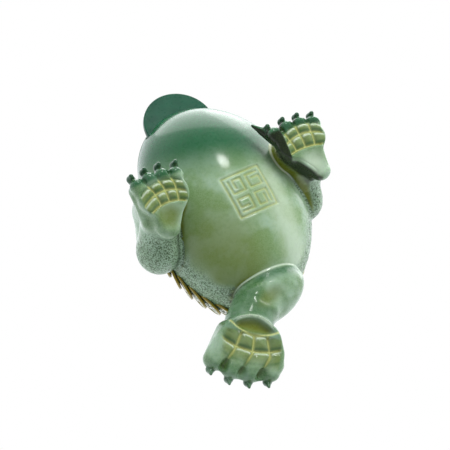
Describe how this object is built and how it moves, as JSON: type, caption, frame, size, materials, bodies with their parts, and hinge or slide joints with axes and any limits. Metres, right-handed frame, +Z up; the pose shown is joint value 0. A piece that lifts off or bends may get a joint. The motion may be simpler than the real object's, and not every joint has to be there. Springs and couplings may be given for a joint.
{
  "type": "three-legged toad figurine",
  "caption": "Polished green stone toad on three clawed feet with a loose coin held in its mouth and a string of coins over its rump.",
  "frame": {"origin": "centre of the bounding box on the ground plane the three feet stand on", "axes": "+Z up, -Y the way the toad faces, +X the toad's left"},
  "size_m": [0.0804, 0.1192, 0.057],
  "materials": {
    "jade_body": "polished",
    "jade_limb": "polished",
    "jade_dark": "polished",
    "amber_coin": "polished",
    "eye_glass": "glossy"
  },
  "bodies": {
    "figurine": {"body": "jade_body", "front_left_leg": "jade_limb", "front_right_leg": "jade_limb", "left_eye": "eye_glass", "rear_leg": "jade_limb", "right_eye": "eye_glass", "string_coin_01": "amber_coin", "string_coin_02": "amber_coin", "string_coin_03": "amber_coin", "string_coin_04": "amber_coin", "string_coin_05": "amber_coin", "string_coin_06": "amber_coin", "string_coin_07": "amber_coin", "string_coin_08": "amber_coin", "string_coin_09": "amber_coin", "string_coin_10": "amber_coin", "string_coin_11": "amber_coin", "string_coin_12": "amber_coin", "string_coin_13": "amber_coin", "string_coin_14": "amber_coin", "string_coin_15": "amber_coin", "string_coin_16": "amber_coin", "string_coin_17": "amber_coin", "string_coin_18": "amber_coin", "string_coin_19": "amber_coin", "string_coin_20": "amber_coin", "string_coin_21": "amber_coin", "string_coin_22": "amber_coin"},
    "coin": {"mouth_coin": "jade_dark"}
  },
  "joints": [
    {"name": "coin_slide", "type": "slide", "parent": "figurine", "child": "coin", "axis": [0, -0.9397, 0.342], "range_m": [0, 0.022]}
  ]
}
